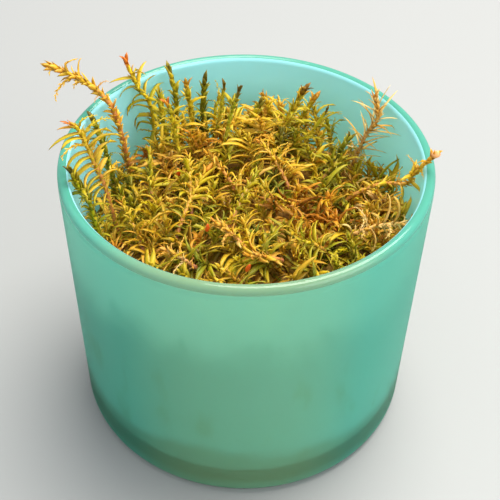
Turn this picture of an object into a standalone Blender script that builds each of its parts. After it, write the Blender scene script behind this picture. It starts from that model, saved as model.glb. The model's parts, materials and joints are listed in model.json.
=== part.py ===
"""A clump of feather moss growing in a frosted glass cup, as closed solids.

The cup stands on z = 0 with its axis on the Z axis. It holds a bed of crumbly
soil, and the moss cushion grows on that: a crowd of short shoots, matted
together by their brown lower stems. The taller shoots are separate pieces whose
feet stand in sockets of the cushion. Sizes are in metres, given in millimetres
times MM.
"""

import math

import bmesh
import bpy
from mathutils import Quaternion, Vector, noise

MM = 0.001
GAP = 0.35 * MM  # between solids that touch in the real object

# The glass cup.
CUP_RADIUS = 40 * MM
CUP_HEIGHT = 68 * MM
CUP_WALL = 2.4 * MM
CUP_BASE = 5 * MM
FOOT_ROUNDING = 2.6 * MM
WELL_ROUNDING = 3 * MM
CUP_SIDES = 64
WELL_RADIUS = CUP_RADIUS - CUP_WALL

# The soil bed and the moss cushion fill the well up to this radius.
FILL_RADIUS = WELL_RADIUS - GAP
FILL_SIDES = 56
SOIL_LEVEL = 16.5 * MM
SOIL_LUMPS = 1.6 * MM
SOIL_BOTTOM_RADIUS = FILL_RADIUS - WELL_ROUNDING

# The cushion is a mound on a low skirt. The mound's middle lies right of the cup's
# axis and in front of it, so a gap is open to the glass at the left and the back.
MOUND_CENTRE = Vector((3 * MM, -4 * MM))
MOUND_REACH = Vector((35 * MM, 33 * MM))
MOUND_TOP = 57 * MM
MOUND_EDGE = 51 * MM
BACK_RISE = 5 * MM  # how much higher the crowd stands along the back
SKIRT_LEVEL = 35 * MM
SKIRT_START = 1.2  # where the skirt begins, as a multiple of the mound's reach
MOUND_SQUARENESS = 2.5  # 2 is an ellipse, and more is squarer
CUSHION_LUMPS = 1.7 * MM
LUMP_WIDTH = 11 * MM

# The tall shoots.
STEM_RADIUS = 0.5 * MM
BUD_RADIUS = 0.62 * MM
TIP_RADIUS = 0.16 * MM
STEM_SIDES = 5
STEM_STEPS = 8
ROOT_DEPTH = 6 * MM  # how far a stem stands in the cushion
LEAF_WIDTH = 1.3 * MM
LEAF_THICKNESS = 0.4 * MM
GOLDEN_ANGLE = math.radians(137.5)

# Each tall shoot: the points that its stem passes through, in millimetres, how many
# large leaves its head carries, and how long they are. The first point is where the
# stem leaves the cushion, whose height there is worked out.
SHOOTS = {
    "shoot_01_overhanging": (
        [(-27.5, 16), (-29.7, 16, 64.5), (-33, 16, 72), (-38, 16, 76), (-43, 16, 78.5)],
        8,
        7.0,
    ),
    "shoot_02": ([(-22.5, 26), (-23, 25.5, 61), (-25.5, 25, 67), (-28, 25, 74.5)], 6, 6.0),
    "shoot_03": ([(-28, -5), (-30, -5, 62), (-32, -5, 70), (-33.5, -5, 76.5), (-35.5, -5, 79)], 7, 6.0),
    "shoot_04": ([(-30.5, 11), (-32.5, 11, 61), (-34, 11, 67.5)], 4, 3.5),
    "shoot_05": ([(-31, -9), (-33, -9, 62), (-34.5, -9.5, 66), (-35.5, -10, 70.5)], 3, 3.5),
    "shoot_06": ([(-17, 28), (-17.5, 28.5, 63), (-18.5, 29.5, 69)], 5, 5.0),
    "shoot_07": ([(-19, 21), (-20, 22, 62), (-20.5, 23, 67)], 4, 3.5),
    "shoot_08": ([(-15.5, 16), (-17, 16, 64), (-18, 16, 69.5)], 5, 4.5),
    "shoot_09": ([(-13, 24), (-13.5, 24.5, 62), (-14.5, 25, 68.5)], 4, 4.0),
    "shoot_10": ([(-10.5, 29), (-11, 29, 60), (-10.5, 28.5, 66.5)], 4, 3.5),
    "shoot_11": ([(-8, 25), (-8, 25.5, 60), (-7, 26.5, 64)], 3, 4.0),
    "shoot_12": ([(-8, 19.5), (-6.5, 20, 64), (-5.5, 19.5, 72)], 3, 3.5),
    "shoot_13": ([(-6.5, 14), (-4.5, 15, 64), (-2, 15, 74)], 4, 4.0),
    "shoot_14": ([(4.5, 26), (5, 26.5, 60), (3.5, 27, 64.5)], 5, 5.0),
    "shoot_15": ([(0, 22), (1, 22, 61), (2.5, 22, 65)], 4, 3.5),
    "shoot_16": ([(6.5, 20.5), (9.5, 20.5, 63), (12.5, 20, 71)], 7, 4.5),
    "shoot_17": ([(11.5, 25), (13, 25.5, 60), (15.5, 25.5, 65)], 5, 4.0),
    "shoot_18": ([(13.5, 20), (15.8, 20, 61), (18, 19.5, 66)], 4, 3.5),
    "shoot_19_feathery": ([(24, 16), (27, 17, 60), (29.5, 17, 66), (28.5, 18, 71)], 8, 6.5),
    "shoot_20_over_rim": ([(23, 3), (29.5, 2.5, 58.5), (35, 0, 61), (35.5, -2, 65), (38.8, -4, 72)], 5, 4.5),
    "shoot_21": ([(22, -10), (28.5, -10.5, 58), (34.5, -11.5, 59.5)], 5, 3.5),
    "shoot_22": ([(20.5, 13), (21.5, 13.5, 58.5), (23, 14, 62)], 3, 3.5),
}


def clear_scene():
    for obj in list(bpy.data.objects):
        bpy.data.objects.remove(obj)


def make_material(name, colour, roughness, transmission=0.0):
    material = bpy.data.materials.new(name)
    material.use_nodes = True
    shader = material.node_tree.nodes["Principled BSDF"]
    shader.inputs["Base Color"].default_value = (*colour, 1)
    shader.inputs["Roughness"].default_value = roughness
    shader.inputs["Metallic"].default_value = 0
    shader.inputs["Transmission Weight"].default_value = transmission
    return material


def add_object(name, bm, material, smooth_angle=math.radians(40)):
    """A named object from a bmesh, with round surfaces shaded smooth."""
    bmesh.ops.recalc_face_normals(bm, faces=bm.faces)
    mesh = bpy.data.meshes.new(name)
    bm.to_mesh(mesh)
    bm.free()
    mesh.shade_smooth()
    mesh.set_sharp_from_angle(angle=smooth_angle)
    mesh.materials.append(material)
    obj = bpy.data.objects.new(name, mesh)
    bpy.context.scene.collection.objects.link(obj)
    return obj


def arc(centre_r, centre_z, radius, start, end, steps):
    """Points of an arc in the (r, z) plane, with its angles in degrees."""
    points = []
    for i in range(steps + 1):
        angle = math.radians(start + (end - start) * i / steps)
        points.append((centre_r + radius * math.cos(angle), centre_z + radius * math.sin(angle)))
    return points


def make_cup(material):
    """The glass cup: its half section, turned round the Z axis."""
    lip = CUP_WALL / 2
    profile = [(0, 0)]
    profile += arc(CUP_RADIUS - FOOT_ROUNDING, FOOT_ROUNDING, FOOT_ROUNDING, -90, 0, 4)
    profile += arc(CUP_RADIUS - lip, CUP_HEIGHT - lip, lip, 0, 180, 6)
    profile += arc(WELL_RADIUS - WELL_ROUNDING, CUP_BASE + WELL_ROUNDING, WELL_ROUNDING, 0, -90, 3)
    profile += [(0, CUP_BASE)]
    bm = bmesh.new()
    verts = [bm.verts.new((r, 0, z)) for r, z in profile]
    edges = [bm.edges.new(pair) for pair in zip(verts, verts[1:])]
    section = verts + edges
    middle, upward = (0, 0, 0), (0, 0, 1)
    bmesh.ops.spin(
        bm, geom=section, cent=middle, axis=upward, angle=math.tau, steps=CUP_SIDES, use_merge=True
    )
    bmesh.ops.remove_doubles(bm, verts=bm.verts, dist=GAP / 10)
    return add_object("glass_cup", bm, material)


def soil_top(x, y):
    lump = noise.noise(Vector((x, y, 0)) / LUMP_WIDTH + Vector((0, 0, 7)))
    return SOIL_LEVEL + SOIL_LUMPS * lump


def cushion_bottom(x, y):
    return soil_top(x, y) + GAP


def smooth_step(low, high, value):
    share = min(max((value - low) / (high - low), 0), 1)
    return share * share * (3 - 2 * share)


def cushion_top(x, y):
    """Height of the short shoots' tips: a lumpy mound that drops to the skirt at its edge."""
    across = abs(x - MOUND_CENTRE.x) / MOUND_REACH.x
    along = abs(y - MOUND_CENTRE.y) / MOUND_REACH.y
    reach = (across**MOUND_SQUARENESS + along**MOUND_SQUARENESS) ** (1 / MOUND_SQUARENESS)
    dome = MOUND_TOP - (MOUND_TOP - MOUND_EDGE) * min(reach, 1) ** 2
    behind = smooth_step(10 * MM, 20 * MM, y) * smooth_step(-27 * MM, -16 * MM, x)
    dome += BACK_RISE * behind * smooth_step(24 * MM, 12 * MM, x)
    fall = smooth_step(1, SKIRT_START, reach)
    lump = noise.noise(Vector((x, y, 0)) / LUMP_WIDTH)
    return dome + (SKIRT_LEVEL - dome) * fall + CUSHION_LUMPS * lump


def make_fill(name, rings, material):
    """A closed body of revolution with a free height: rings of (radius, height function),
    from the bottom's middle out, up the side and back to the top's middle."""
    bm = bmesh.new()
    loops = []
    for radius, height in rings:
        if radius == 0:
            loops.append([bm.verts.new((0, 0, height(0, 0)))])
            continue
        loop = []
        for i in range(FILL_SIDES):
            angle = math.tau * i / FILL_SIDES
            x, y = radius * math.cos(angle), radius * math.sin(angle)
            loop.append(bm.verts.new((x, y, height(x, y))))
        loops.append(loop)
    for lower, upper in zip(loops, loops[1:]):
        for i in range(FILL_SIDES):
            j = (i + 1) % FILL_SIDES
            if len(lower) == 1:
                bm.faces.new((lower[0], upper[j], upper[i]))
            elif len(upper) == 1:
                bm.faces.new((lower[i], lower[j], upper[0]))
            else:
                bm.faces.new((lower[i], lower[j], upper[j], upper[i]))
    bmesh.ops.triangulate(bm, faces=bm.faces)
    return add_object(name, bm, material)


def make_soil(material):
    floor = CUP_BASE + GAP

    def at_floor(x, y):
        return floor

    def above_rounding(x, y):
        return floor + WELL_ROUNDING

    shared = [(FILL_RADIUS * share, soil_top) for share in (1, 0.7, 0.35, 0)]
    rings = [(0, at_floor), (SOIL_BOTTOM_RADIUS, at_floor), (FILL_RADIUS, above_rounding)]
    return make_fill("soil_bed", rings + shared, material)


def make_cushion(material):
    bottom = [(FILL_RADIUS * share, cushion_bottom) for share in (0, 0.35, 0.7, 1)]
    shares = (1, 0.94, 0.88, 0.8, 0.71, 0.6, 0.48, 0.34, 0.18, 0)
    top = [(FILL_RADIUS * share, cushion_top) for share in shares]
    return make_fill("moss_cushion", bottom + top, material)


def smooth_route(points, steps):
    """Points spread along a Catmull-Rom curve through the given ones."""
    padded = [2 * points[0] - points[1], *points, 2 * points[-1] - points[-2]]
    spans = len(points) - 1
    route = []
    for i in range(steps + 1):
        place = min(i / steps * spans, spans - 1e-6)
        k, t = int(place), place - int(place)
        a, b, c, d = padded[k : k + 4]
        route.append(
            0.5 * (2 * b + (c - a) * t + (2 * a - 5 * b + 4 * c - d) * t**2 + (3 * b - 3 * c + d - a) * t**3)
        )
    return route


def stem_route(points):
    """A stem's own points in metres: its root in the cushion, then what the table gives."""
    (x, y), *others = points
    foot = Vector((x, y, 0)) * MM
    foot.z = cushion_top(foot.x, foot.y)
    above = [Vector(p) * MM for p in others]
    rise = (above[0] - foot).normalized()
    root = foot - ROOT_DEPTH * (rise + Vector((0, 0, 1))).normalized()
    return smooth_route([root, foot, *above], STEM_STEPS)


def stem_radius(share):
    """A stem tapers a little, swells to its bud near the end and closes to the tip."""
    if share > 0.99:
        return TIP_RADIUS
    if share > 0.8:
        return BUD_RADIUS
    return STEM_RADIUS * (1.1 - 0.25 * share)


def tube_rings(bm, route, radius_at):
    """Rings of vertices along a route, each square to it and turned as little as possible."""
    rings = []
    direction = (route[1] - route[0]).normalized()
    side = direction.orthogonal().normalized()
    for i, point in enumerate(route):
        ahead = (route[min(i + 1, len(route) - 1)] - route[max(i - 1, 0)]).normalized()
        turn = direction.rotation_difference(ahead)
        side = (turn @ side).normalized()
        direction = ahead
        ring = []
        for k in range(STEM_SIDES):
            spoke = Quaternion(direction, math.tau * k / STEM_SIDES) @ side
            ring.append(bm.verts.new(point + spoke * radius_at(i / (len(route) - 1))))
        rings.append(ring)
    return rings


def tube_faces(bm, rings):
    """The tube's side faces, by step and side, and its two end caps."""
    sides = []
    for lower, upper in zip(rings, rings[1:]):
        row = []
        for k in range(STEM_SIDES):
            n = (k + 1) % STEM_SIDES
            row.append(bm.faces.new((lower[k], lower[n], upper[n], upper[k])))
        sides.append(row)
    bm.faces.new(rings[0][::-1])
    bm.faces.new(rings[-1])
    return sides


def meets_glass(point):
    return point.z < CUP_HEIGHT + GAP and math.hypot(point.x, point.y) > FILL_RADIUS - GAP


def grow_leaf(bm, face, corners, length):
    """Draws a side face of the stem out into a curved, tapering blade, as long as the glass allows.
    corners are that face's vertices as (lower left, lower right, upper right, upper left)."""
    low_left, low_right, up_right, up_left = [v.co.copy() for v in corners]
    along = ((up_left - low_left) + (up_right - low_right)).normalized()
    across = (low_right - low_left).normalized()
    outward = across.cross(along).normalized()
    if outward.dot(face.normal) < 0:
        outward.negate()
    start = face.calc_center_median()
    while meets_glass(start + length * outward):
        length *= 0.9
    # Each span's share of the leaf's length, outward and along the stem, and of its width and thickness.
    spans = ((0.5, 0.62, 0.42, 1.0, 1.0), (1.0, 0.95, 0.35, 0.25, 0.6))
    signs = ((-1, -1), (1, -1), (1, 1), (-1, 1))
    order = [v.co.copy() for v in corners]
    top = face
    for _, out_share, along_share, width_share, thick_share in spans:
        made = bmesh.ops.extrude_discrete_faces(bm, faces=[top])["faces"][0]
        centre = start + length * (out_share * outward + along_share * along)
        upward = (along * out_share + outward * -along_share * 0.4).normalized()
        new_order = []
        for old, (left_right, low_high) in zip(order, signs):
            vert = min(made.verts, key=lambda v: (v.co - old).length)
            vert.co = (
                centre
                + across * (left_right * width_share * LEAF_WIDTH / 2)
                + upward * (low_high * thick_share * LEAF_THICKNESS / 2)
            )
            new_order.append(vert.co.copy())
        order = new_order
        top = made


def make_shoot(name, points, leaves, leaf_length, material):
    """A tall shoot: a stem with a pointed bud and the large leaves of its head."""
    bm = bmesh.new()
    rings = tube_rings(bm, stem_route(points), stem_radius)
    sides = tube_faces(bm, rings)
    bm.normal_update()
    first_step = 3
    last_step = STEM_STEPS - 2
    for i in range(leaves):
        share = i / max(leaves - 1, 1)
        step = round(first_step + (last_step - first_step) * share)
        side = round(i * GOLDEN_ANGLE / math.tau * STEM_SIDES) % STEM_SIDES
        face = sides[step][side]
        if not face.is_valid:
            continue
        n = (side + 1) % STEM_SIDES
        corners = (rings[step][side], rings[step][n], rings[step + 1][n], rings[step + 1][side])
        grow_leaf(bm, face, corners, leaf_length * MM * (1 - 0.35 * share))
    return add_object(name, bm, material)


def cut_sockets(cushion):
    """Opens a narrow pit in the cushion round the foot of each tall shoot."""
    bm = bmesh.new()
    for points, _, _ in SHOOTS.values():
        route = stem_route(points)
        rise = (route[1] - route[0]).normalized()
        below = [route[0] - 1.2 * GAP * rise]
        rings = tube_rings(bm, below + route[1:4], lambda share: STEM_RADIUS * 1.15 + 1.3 * GAP)
        tube_faces(bm, rings)
    cutter = add_object("socket_cutter", bm, cushion.data.materials[0])
    cutter.hide_render = True
    cutter.display_type = "WIRE"
    cut = cushion.modifiers.new("sockets", "BOOLEAN")
    cut.operation = "DIFFERENCE"
    cut.object = cutter


def build():
    clear_scene()
    glass = make_material("frosted_glass", (0.24, 0.72, 0.62), 0.35, transmission=0.5)
    soil = make_material("soil", (0.06, 0.04, 0.025), 0.95)
    moss = make_material("moss_cushion", (0.34, 0.27, 0.05), 0.7)
    shoot = make_material("moss_shoot", (0.42, 0.38, 0.08), 0.6)
    make_cup(glass)
    make_soil(soil)
    cushion = make_cushion(moss)
    for name, (points, leaves, leaf_length) in SHOOTS.items():
        make_shoot(name, points, leaves, leaf_length, shoot)
    cut_sockets(cushion)


build()
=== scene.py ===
"""A clump of feather moss growing in a turquoise frosted glass cup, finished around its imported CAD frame."""

import json
import math
import random

import bmesh
import bpy
import numpy as np
from mathutils import Matrix, Vector, noise
from mathutils.bvhtree import BVHTree

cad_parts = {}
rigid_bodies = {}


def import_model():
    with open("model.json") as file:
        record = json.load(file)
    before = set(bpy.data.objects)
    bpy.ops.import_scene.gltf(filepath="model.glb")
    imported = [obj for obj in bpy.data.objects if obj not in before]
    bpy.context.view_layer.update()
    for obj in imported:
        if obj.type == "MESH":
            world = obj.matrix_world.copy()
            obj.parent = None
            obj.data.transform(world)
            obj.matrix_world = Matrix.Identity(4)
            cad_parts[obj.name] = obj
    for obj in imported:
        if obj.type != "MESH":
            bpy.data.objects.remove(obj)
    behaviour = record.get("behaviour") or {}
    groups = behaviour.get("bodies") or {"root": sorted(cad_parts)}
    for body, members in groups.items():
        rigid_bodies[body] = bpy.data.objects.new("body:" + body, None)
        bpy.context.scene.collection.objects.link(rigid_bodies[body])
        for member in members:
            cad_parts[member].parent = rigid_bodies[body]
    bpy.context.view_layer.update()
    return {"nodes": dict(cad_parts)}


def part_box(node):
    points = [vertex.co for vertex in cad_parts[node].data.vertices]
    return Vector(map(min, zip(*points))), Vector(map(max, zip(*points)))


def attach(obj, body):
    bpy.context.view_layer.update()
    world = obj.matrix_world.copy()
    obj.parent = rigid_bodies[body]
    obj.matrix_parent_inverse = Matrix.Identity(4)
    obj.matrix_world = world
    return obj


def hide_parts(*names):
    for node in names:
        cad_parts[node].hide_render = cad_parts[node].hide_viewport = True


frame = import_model()


# ---- Table top, lights and camera ----
# A plain pale table top under soft daylight: one large key light high at the back right, a wide fill light
# at the front right and an even sky. The camera looks down into the cup.

MM = 0.001
SOFTBOX_SIZE = 0.7


def tint(red, green, blue):
    """A colour as the eye sees it, from 0 to 255, as the linear values that a shader takes."""
    return tuple((c / 255) ** 2.2 for c in (red, green, blue)) + (1,)


def set_inputs(tree, node, inputs):
    """Gives each of a node's inputs, by name or number, a value or the output of another node."""
    for label, value in inputs.items():
        if isinstance(value, bpy.types.NodeSocket):
            tree.links.new(value, node.inputs[label])
        else:
            node.inputs[label].default_value = value


def add_node(tree, kind, inputs=None, **settings):
    node = tree.nodes.new(kind)
    for label, value in settings.items():
        setattr(node, label, value)
    set_inputs(tree, node, inputs or {})
    return node


def new_material(name):
    """A new material, with its node tree and the plain shader in it."""
    material = bpy.data.materials.new(name)
    material.use_nodes = True
    tree = material.node_tree
    return material, tree, tree.nodes["Principled BSDF"]


def add_object(name, data):
    obj = bpy.data.objects.new(name, data)
    bpy.context.scene.collection.objects.link(obj)
    return obj


def mesh_object(name, bm, materials):
    """An object with the mesh that has been built up, and its materials."""
    mesh = bpy.data.meshes.new(name)
    bm.to_mesh(mesh)
    bm.free()
    for material in materials:
        mesh.materials.append(material)
    return add_object(name, mesh)


def make_table_top():
    reach = 3.0
    gap_under_cup = 0.15 * MM
    bm = bmesh.new()
    bmesh.ops.create_grid(bm, x_segments=1, y_segments=1, size=reach)
    bmesh.ops.translate(bm, verts=bm.verts, vec=(0, 0, -gap_under_cup))
    paint, tree, shader = new_material("pale table top")
    set_inputs(tree, shader, {"Base Color": tint(142, 142, 140), "Roughness": 0.6})
    table = mesh_object("table_top", bm, [paint])


def add_softbox(name, place, aim, power, colour):
    """A round soft light, turned towards its aim."""
    light = bpy.data.lights.new(name, "AREA")
    light.shape = "DISK"
    light.size = SOFTBOX_SIZE
    light.energy = power
    light.color = colour
    lamp = add_object(name, light)
    lamp.location = place
    lamp.rotation_euler = (Vector(aim) - Vector(place)).to_track_quat("-Z", "Y").to_euler()


def make_lights():
    cup_middle = (0, 0, 0.04)
    add_softbox("key light", (0.22, 0.24, 0.85), cup_middle, power=15.5, colour=(1.0, 0.97, 0.92))
    add_softbox("fill light", (0.62, -0.5, 0.42), cup_middle, power=4.2, colour=(0.92, 0.96, 1.0))
    world = bpy.data.worlds.new("soft sky")
    bpy.context.scene.world = world
    world.use_nodes = True
    sky = world.node_tree.nodes["Background"]
    set_inputs(world.node_tree, sky, {"Color": (0.9, 0.95, 1.0, 1), "Strength": 1.06})


def make_camera():
    elevation = math.radians(44)
    lean = math.radians(1.2)
    distance = 216 * MM
    aim = Vector((1.1, 0, 39.8)) * MM
    optics = bpy.data.cameras.new("camera")
    optics.lens = 66.6
    optics.sensor_width = 36
    optics.clip_start = 0.01
    camera = add_object("camera", optics)
    camera.location = aim + distance * Vector((0, -math.cos(elevation), math.sin(elevation)))
    turn = (aim - camera.location).to_track_quat("-Z", "Y").to_matrix().to_4x4()
    camera.rotation_euler = (turn @ Matrix.Rotation(lean, 4, "Z")).to_euler()
    bpy.context.scene.camera = camera
    bpy.context.scene.view_settings.view_transform = "Standard"


make_table_top()
make_lights()
make_camera()


# ---- Glass cup ----
# A straight-sided pressed cup of turquoise glass, with a thick floor, a milky inner wall and a clearer,
# fire-polished lip. A frosted lacquer covers its outside up to just below the rim, where it ends in a wavy
# line. A golden tint is painted on its front, partly the moss's glow seen through the glass and partly
# painted warm light. The lip's front has a painted cream highlight and reflection of the moss.

_, cup_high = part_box("glass_cup")
CUP_RADIUS = cup_high.x
CUP_HEIGHT = cup_high.z
CUP_WALL = 2.4 * MM
CUP_FLOOR = 5 * MM
FOOT_ROUNDING = 2.6 * MM
WELL_ROUNDING = 3 * MM
WELL_RADIUS = CUP_RADIUS - CUP_WALL
LACQUER_THICKNESS = 0.06 * MM
LACQUER_EDGE = CUP_HEIGHT - 2.3 * MM
LACQUER_WAVE = 0.35 * MM
LACQUER_SLOPE = 0.12 * MM
RIPPLE_HEIGHT = 0.05 * MM
RIPPLE_INSET = 0.04 * MM
CUP_SIDES = 180
WELL_RINGS = 20
LIP_ROWS = 11


def arc_points(centre_r, centre_z, radius, start, end, steps):
    """Points of an arc in the (radius, height) plane, with its angles in degrees."""
    angles = np.radians(np.linspace(start, end, steps + 1))
    return [(centre_r + radius * math.cos(a), centre_z + radius * math.sin(a)) for a in angles]


def turned_rings(rings, sides):
    """A closed turned mesh from rings of (r, z), each a number or an array round the axis.
    The first and last rings are single points on the axis. Returns the bmesh and its face rows."""
    bm = bmesh.new()
    angles = np.linspace(0, math.tau, sides, endpoint=False)
    loops = []
    for r, z in rings:
        if np.ndim(r) == 0 and r == 0:
            loops.append([bm.verts.new((0, 0, z))])
            continue
        round_axis = zip(np.broadcast_to(r, sides), np.broadcast_to(z, sides), angles)
        loops.append([bm.verts.new((q * math.cos(a), q * math.sin(a), h)) for q, h, a in round_axis])
    rows = []
    for lower, upper in zip(loops, loops[1:]):
        row = []
        for i in range(sides):
            j = (i + 1) % sides
            if len(lower) == 1:
                corners = (lower[0], upper[i], upper[j])
            elif len(upper) == 1:
                corners = (lower[i], upper[0], lower[j])
            else:
                corners = (lower[i], upper[i], upper[j], lower[j])
            face = bm.faces.new(corners)
            face.smooth = True
            row.append(face)
        rows.append(row)
    bmesh.ops.recalc_face_normals(bm, faces=bm.faces)
    return bm, rows


def wave_round(sides, height, spread, seed):
    """A smooth random wave round the axis, one value a side."""
    angles = np.linspace(0, math.tau, sides, endpoint=False)
    places = [Vector((math.cos(a), math.sin(a), seed)) * spread for a in angles]
    return np.array([height * noise.noise(place) for place in places])


def own_place(tree):
    """Where a point is on its own object."""
    return add_node(tree, "ShaderNodeTexCoord").outputs["Object"]


def coordinate(tree, place, axis):
    return add_node(tree, "ShaderNodeSeparateXYZ", {"Vector": place}).outputs[axis]


def drawn_upwards(tree, place, squeeze):
    """The place that makes a pattern long in height."""
    return add_node(tree, "ShaderNodeMapping", {"Vector": place, "Scale": (1, 1, squeeze)}).outputs["Vector"]


def cloudy(tree, place, scale, detail=2):
    """A random cloudy pattern. The larger its scale, the finer it is."""
    inputs = {"Vector": place, "Scale": scale, "Detail": detail}
    return add_node(tree, "ShaderNodeTexNoise", inputs).outputs["Fac"]


def arithmetic(tree, operation, a, b):
    return add_node(tree, "ShaderNodeMath", {0: a, 1: b}, operation=operation).outputs[0]


def fade(tree, value, start, end, course="SMOOTHSTEP"):
    """A share that grows from 0 where the value is start to 1 where it is end."""
    inputs = {"Value": value, "From Min": start, "From Max": end}
    return add_node(tree, "ShaderNodeMapRange", inputs, interpolation_type=course).outputs["Result"]


def blend(tree, share, colour, stain, mode="MIX"):
    """A colour with a share of a stain mixed in, or multiplied in."""
    inputs = {"Factor": share, "A": colour, "B": stain}
    return add_node(tree, "ShaderNodeMix", inputs, data_type="RGBA", blend_type=mode).outputs["Result"]


def roughen(tree, pattern, depth, strength=1):
    """The normals of a surface with a pattern pressed into it."""
    inputs = {"Height": pattern, "Distance": depth, "Strength": strength}
    return add_node(tree, "ShaderNodeBump", inputs).outputs["Normal"]


def lights_mixed(tree, share, light, other):
    return add_node(tree, "ShaderNodeMixShader", {"Fac": share, 1: light, 2: other}).outputs["Shader"]


def glow_and_view(tree, glow_colour, view_colour, roughness, ior, view_share):
    """The light that comes through coloured glass: an even glow, and a view of what is behind."""
    glow = add_node(tree, "ShaderNodeBsdfTranslucent", {"Color": glow_colour})
    through = {"Color": view_colour, "Roughness": roughness, "IOR": ior}
    view = add_node(tree, "ShaderNodeBsdfRefraction", through)
    return lights_mixed(tree, view_share, glow.outputs["BSDF"], view.outputs["BSDF"])


def make_lacquer():
    """Frosted turquoise lacquer on glass: part paint, part glow from behind, part blurred view through."""
    soil_shows = (23.5 * MM, 18.5 * MM)
    soil_starts = (1 * MM, 6 * MM)
    soil_unevenness = 12 * MM
    moss_shows = (46 * MM, 34 * MM)
    moss_strength = 0.55
    specks_under_edge = (LACQUER_EDGE - 1.6 * MM, LACQUER_EDGE - 0.4 * MM)
    front_glow_and_light_span = (-30 * MM, -39.8 * MM)
    front_glow_and_light_strength = 0.32
    grain_depth = 0.05 * MM
    share_behind = 0.62

    material, tree, paint = new_material("frosted turquoise lacquer")
    place = own_place(tree)
    height = coordinate(tree, place, "Z")
    cloud = cloudy(tree, place, scale=45, detail=3)
    colour = blend(tree, cloud, tint(80, 178, 156), tint(98, 192, 172))

    level = arithmetic(tree, "ADD", height, arithmetic(tree, "MULTIPLY", cloud, soil_unevenness))
    soil = arithmetic(tree, "MULTIPLY", fade(tree, level, *soil_shows), fade(tree, height, *soil_starts))
    colour = blend(tree, soil, colour, tint(178, 176, 160), "MULTIPLY")

    streaks = cloudy(tree, drawn_upwards(tree, place, squeeze=0.4), scale=130, detail=4)
    streaks = fade(tree, streaks, start=0.53, end=0.7)
    moss = arithmetic(tree, "MULTIPLY", streaks, fade(tree, height, *moss_shows))
    moss = arithmetic(tree, "MULTIPLY", moss, moss_strength)
    colour = blend(tree, moss, colour, tint(190, 190, 140), "MULTIPLY")

    dots = fade(tree, cloudy(tree, place, scale=900), start=0.68, end=0.74)
    specks = arithmetic(tree, "MULTIPLY", dots, fade(tree, height, *specks_under_edge))
    colour = blend(tree, specks, colour, tint(110, 130, 110), "MULTIPLY")

    # A golden tint painted on the front: partly the moss's glow seen through the glass, partly painted warm
    # light.
    golden = fade(tree, coordinate(tree, place, "Y"), *front_glow_and_light_span)
    golden = arithmetic(tree, "MULTIPLY", golden, front_glow_and_light_strength)
    colour = blend(tree, golden, colour, tint(196, 206, 128))

    normal = roughen(tree, cloudy(tree, place, scale=2600), grain_depth, strength=0.12)
    set_inputs(tree, paint, {
        "Base Color": colour, "Roughness": 0.36, "Specular IOR Level": 0.5,
        "Coat Weight": 0.15, "Coat Roughness": 0.15, "Normal": normal})
    behind = glow_and_view(
        tree, tint(150, 238, 212), tint(206, 234, 206), roughness=0.3, ior=1.15, view_share=0.72
    )
    whole = lights_mixed(tree, share_behind, paint.outputs["BSDF"], behind)
    set_inputs(tree, tree.nodes["Material Output"], {"Surface": whole})
    return material


def make_coloured_glass(name, body_colour, front_highlight_colour, glow_colour, share_behind):
    """The glass itself, glossy and turquoise, with a painted cream highlight and reflection of the moss at its
    front.
    """
    front = (-24 * MM, -39 * MM)
    material, tree, body = new_material(name)
    # The colour at the front is a painted highlight and reflection of the moss.
    front_highlight_share = fade(tree, coordinate(tree, own_place(tree), "Y"), *front)
    colour = blend(tree, front_highlight_share, body_colour, front_highlight_colour)
    set_inputs(tree, body, {"Base Color": colour, "Roughness": 0.06, "Specular IOR Level": 0.5})
    clear_view = tint(224, 252, 246)
    behind = glow_and_view(tree, glow_colour, clear_view, roughness=0.04, ior=1.5, view_share=0.5)
    whole = lights_mixed(tree, share_behind, body.outputs["BSDF"], behind)
    set_inputs(tree, tree.nodes["Material Output"], {"Surface": whole})
    return material


def make_glass_cup():
    bare = CUP_RADIUS - LACQUER_THICKNESS
    edge = LACQUER_EDGE + wave_round(CUP_SIDES, LACQUER_WAVE, spread=5, seed=1)
    side_top = LACQUER_EDGE - 1 * MM
    lacquered = [(0, 0), (CUP_RADIUS * 0.5, 0)]
    lacquered += arc_points(CUP_RADIUS - FOOT_ROUNDING, FOOT_ROUNDING, FOOT_ROUNDING, -90, 0, steps=8)
    lacquered += [(CUP_RADIUS, z) for z in np.linspace(FOOT_ROUNDING, side_top, 5)[1:]]
    lacquered += [(CUP_RADIUS, edge - LACQUER_SLOPE), (bare, edge), (bare, CUP_HEIGHT - 1.5 * MM)]

    lip = CUP_WALL / 2
    well_foot = CUP_FLOOR + WELL_ROUNDING
    clear = arc_points(bare - lip, CUP_HEIGHT - lip, lip, 0, 180, steps=14)
    for k, z in enumerate(np.linspace(CUP_HEIGHT - CUP_WALL, well_foot, WELL_RINGS)):
        ripple = wave_round(CUP_SIDES, RIPPLE_HEIGHT, spread=3, seed=3 + k * 0.25)
        clear.append((WELL_RADIUS - RIPPLE_INSET + ripple, z))
    clear += arc_points(WELL_RADIUS - WELL_ROUNDING, well_foot, WELL_ROUNDING, 0, -90, steps=6)[1:]
    clear += [(0, CUP_FLOOR)]

    bm, rows = turned_rings(lacquered + clear, CUP_SIDES)
    lip_start = len(lacquered) - 1
    wall_start = lip_start + LIP_ROWS
    for k, row in enumerate(rows):
        for face in row:
            face.material_index = 0 if k < lip_start else 1 if k < wall_start else 2

    lacquer = make_lacquer()
    # The lip's second colour is its painted cream highlight and reflection of the moss at the front.
    lip_glass = make_coloured_glass(
        "clearer lip", tint(80, 160, 138), tint(126, 148, 104), tint(122, 204, 174), share_behind=0.42
    )
    milky, milky_glow = tint(170, 240, 255), tint(200, 250, 255)
    wall_glass = make_coloured_glass("milky wall", milky, milky, milky_glow, share_behind=0.45)
    cup = mesh_object("frosted_glass_cup", bm, [lacquer, lip_glass, wall_glass])
    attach(cup, "root")
    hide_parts("glass_cup")


make_glass_cup()


# ---- Soil bed ----
# Dark damp humus, poured loose into the cup for the moss to stand on. Its crumbs press on the glass and
# show through it as a dark band.

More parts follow.
